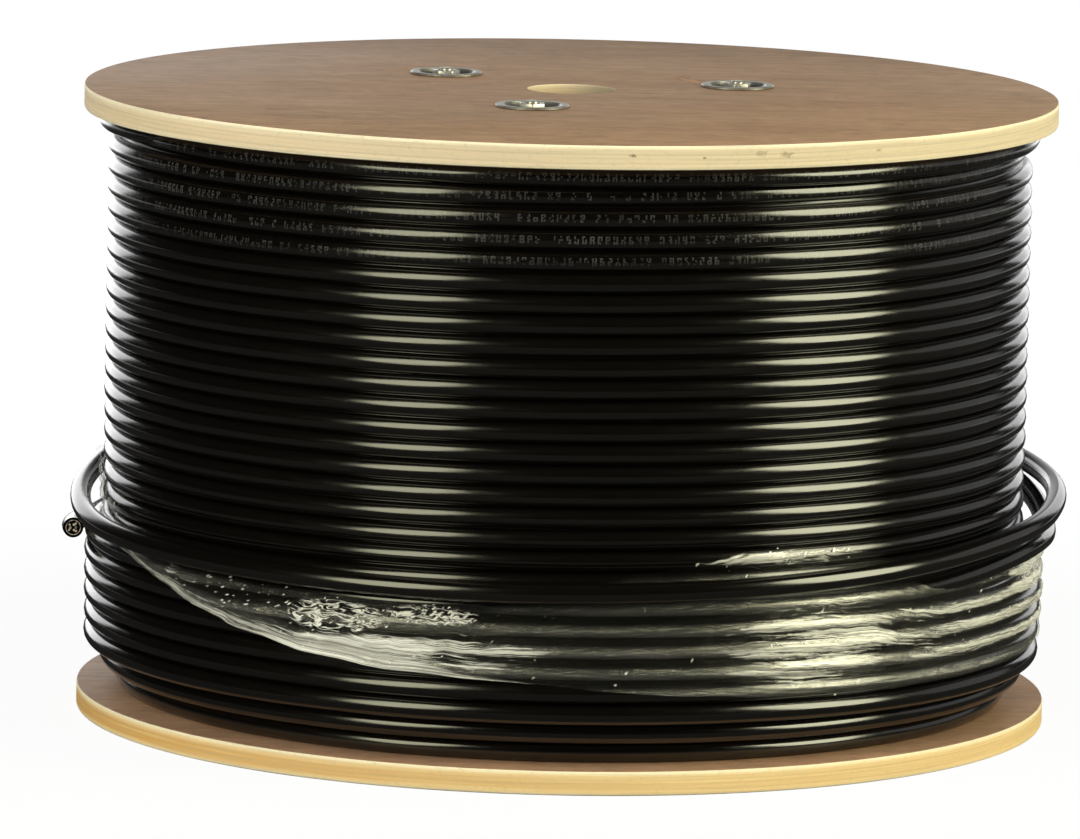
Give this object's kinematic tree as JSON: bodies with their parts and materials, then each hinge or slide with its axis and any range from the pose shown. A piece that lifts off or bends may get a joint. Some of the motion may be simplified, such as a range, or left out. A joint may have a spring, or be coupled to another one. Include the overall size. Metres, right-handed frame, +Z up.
{
  "type": "cable drum",
  "caption": "Plywood cable drum standing on one flange: two discs bolted on a fibre barrel, wound full of black cable, with a loose end and a gathered band of clear film.",
  "frame": {"origin": "centre of the lower flange's underside, on the floor", "axes": "+Z up along the drum's axis, -Y towards the front of the picture"},
  "size_m": [0.4145, 0.4138, 0.2607],
  "materials": {
    "plywood_upper": "bare brown-faced plywood, pale plies on the edge",
    "plywood_lower": "bare brown-faced plywood, amber plies on the edge",
    "fibreboard": "wound paper tube",
    "zinc_steel": "zinc plated",
    "cable_jacket": "glossy black jacket",
    "clear_film": "clear stretch film, gathered and creased"
  },
  "bodies": {
    "root": {"bottom_flange": "plywood_lower", "top_flange": "plywood_upper", "barrel": "fibreboard", "tie_bolt_1": "zinc_steel", "cup_washer_top_1": "zinc_steel", "cup_washer_bottom_1": "zinc_steel", "nut_1": "zinc_steel", "tie_bolt_2": "zinc_steel", "cup_washer_top_2": "zinc_steel", "cup_washer_bottom_2": "zinc_steel", "nut_2": "zinc_steel", "tie_bolt_3": "zinc_steel", "cup_washer_top_3": "zinc_steel", "cup_washer_bottom_3": "zinc_steel", "nut_3": "zinc_steel", "cable_winding": "cable_jacket", "loose_end": "cable_jacket", "stretch_film": "clear_film"}
  },
  "joints": []
}
